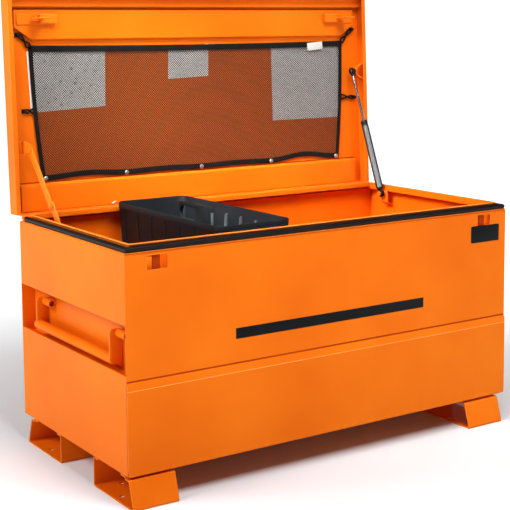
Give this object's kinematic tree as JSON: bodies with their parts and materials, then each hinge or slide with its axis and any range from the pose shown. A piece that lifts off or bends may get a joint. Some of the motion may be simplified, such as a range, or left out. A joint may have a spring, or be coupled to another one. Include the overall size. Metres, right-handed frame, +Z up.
{
  "type": "jobsite storage box",
  "caption": "Folded-steel tool chest on bent skids, lid open on a full-length hinge with a gas strut and folding stay, a net in the lid, a sliding tray and swinging end handles.",
  "frame": {"origin": "on the floor, under the middle of the box that bounds the part with its lid open", "axes": "+X to the right along the lid's hinge, +Y from front to back, +Z up"},
  "size_m": [1.223, 0.7144, 1.2371],
  "materials": {
    "orange_paint": "gloss orange powder coat on folded sheet steel",
    "seal_rubber": "matt black foam rubber",
    "zinc_steel": "zinc plated",
    "dark_steel": "satin black enamel",
    "black_plastic": "fine moulded grain",
    "webbing": "woven black tape and cord"
  },
  "bodies": {
    "box": {"front_panel": "orange_paint", "back_panel": "orange_paint", "floor_panel": "orange_paint", "left_end_panel": "orange_paint", "right_end_panel": "orange_paint", "rim_frame": "orange_paint", "rim_seal": "seal_rubber", "left_lock_housing": "orange_paint", "left_lock_bar": "orange_paint", "right_lock_housing": "orange_paint", "right_lock_bar": "orange_paint", "left_handle_sleeve_front": "orange_paint", "left_handle_sleeve_rear": "orange_paint", "right_handle_sleeve_front": "orange_paint", "right_handle_sleeve_rear": "orange_paint", "skid_front_left": "orange_paint", "skid_front_right": "orange_paint", "skid_rear_left": "orange_paint", "skid_rear_right": "orange_paint", "hinge_leaf_body": "orange_paint", "hinge_pin": "zinc_steel", "strut_lower_bracket": "orange_paint", "stay_body_bracket": "orange_paint"},
    "lid": {"lid_shell": "orange_paint", "hinge_leaf_lid": "orange_paint", "lid_front_channel": "orange_paint", "lid_rear_channel": "orange_paint", "lid_tongue_left": "orange_paint", "lid_tongue_right": "orange_paint", "lid_net": "webbing", "net_snap_1": "zinc_steel", "net_snap_2": "zinc_steel", "net_snap_3": "zinc_steel", "net_snap_4": "zinc_steel", "net_snap_5": "zinc_steel", "net_loop_top_left": "webbing", "net_loop_top_right": "webbing", "net_loop_mid_left": "webbing", "net_loop_mid_right": "webbing", "net_hook_top_left": "dark_steel", "net_hook_top_right": "dark_steel", "net_hook_mid_left": "dark_steel", "net_hook_mid_right": "dark_steel", "strut_upper_bracket": "orange_paint", "stay_lid_bracket": "orange_paint"},
    "strut_cylinder": {"strut_cylinder": "dark_steel", "strut_lower_eye": "dark_steel"},
    "strut_rod": {"strut_rod": "zinc_steel", "strut_upper_eye": "dark_steel", "strut_upper_stud": "dark_steel"},
    "stay_lower": {"stay_lower_arm": "orange_paint", "stay_knee_rivet": "dark_steel"},
    "stay_upper": {"stay_upper_arm": "orange_paint"},
    "left_handle": {"left_handle": "orange_paint"},
    "right_handle": {"right_handle": "orange_paint"},
    "tray": {"tray_shell": "black_plastic", "tray_grip": "black_plastic"}
  },
  "joints": [
    {"name": "lid_hinge", "type": "hinge", "parent": "box", "child": "lid", "pos_m": [0, 0.27916, 0.62], "axis": [1, 0, 0], "range_deg": [0, 92.5]},
    {"name": "strut_pivot", "type": "hinge", "parent": "box", "child": "strut_cylinder", "pos_m": [0.565, 0.16816, 0.605], "axis": [1, 0, 0], "range_deg": [0, 103.1]},
    {"name": "strut_slide", "type": "slide", "parent": "strut_cylinder", "child": "strut_rod", "axis": [0, 0.3666, 0.9304], "range_m": [-0.1504, 0]},
    {"name": "stay_pivot", "type": "hinge", "parent": "box", "child": "stay_lower", "pos_m": [-0.573, 0.04036, 0.5457], "axis": [1, 0, 0], "range_deg": [0, 106.1]},
    {"name": "stay_knee", "type": "hinge", "parent": "stay_lower", "child": "stay_upper", "pos_m": [-0.577, 0.13816, 0.667], "axis": [1, 0, 0], "range_deg": [-155.45, 0]},
    {"name": "left_handle_swing", "type": "hinge", "parent": "box", "child": "left_handle", "pos_m": [-0.5828, -0.03184, 0.406], "axis": [0, 1, 0], "range_deg": [0, 90]},
    {"name": "right_handle_swing", "type": "hinge", "parent": "box", "child": "right_handle", "pos_m": [0.5828, -0.03184, 0.406], "axis": [0, -1, 0], "range_deg": [0, 90]},
    {"name": "tray_slide", "type": "slide", "parent": "box", "child": "tray", "axis": [1, 0, 0], "range_m": [-0.122, 0.568]}
  ],
  "couplings": [
    {"joint": "strut_pivot", "follows": "lid_hinge", "ratio": 1.1142},
    {"joint": "strut_slide", "follows": "lid_hinge", "m_per_rad": -0.093114},
    {"joint": "stay_pivot", "follows": "lid_hinge", "ratio": 1.1468},
    {"joint": "stay_knee", "follows": "lid_hinge", "ratio": -1.68}
  ]
}
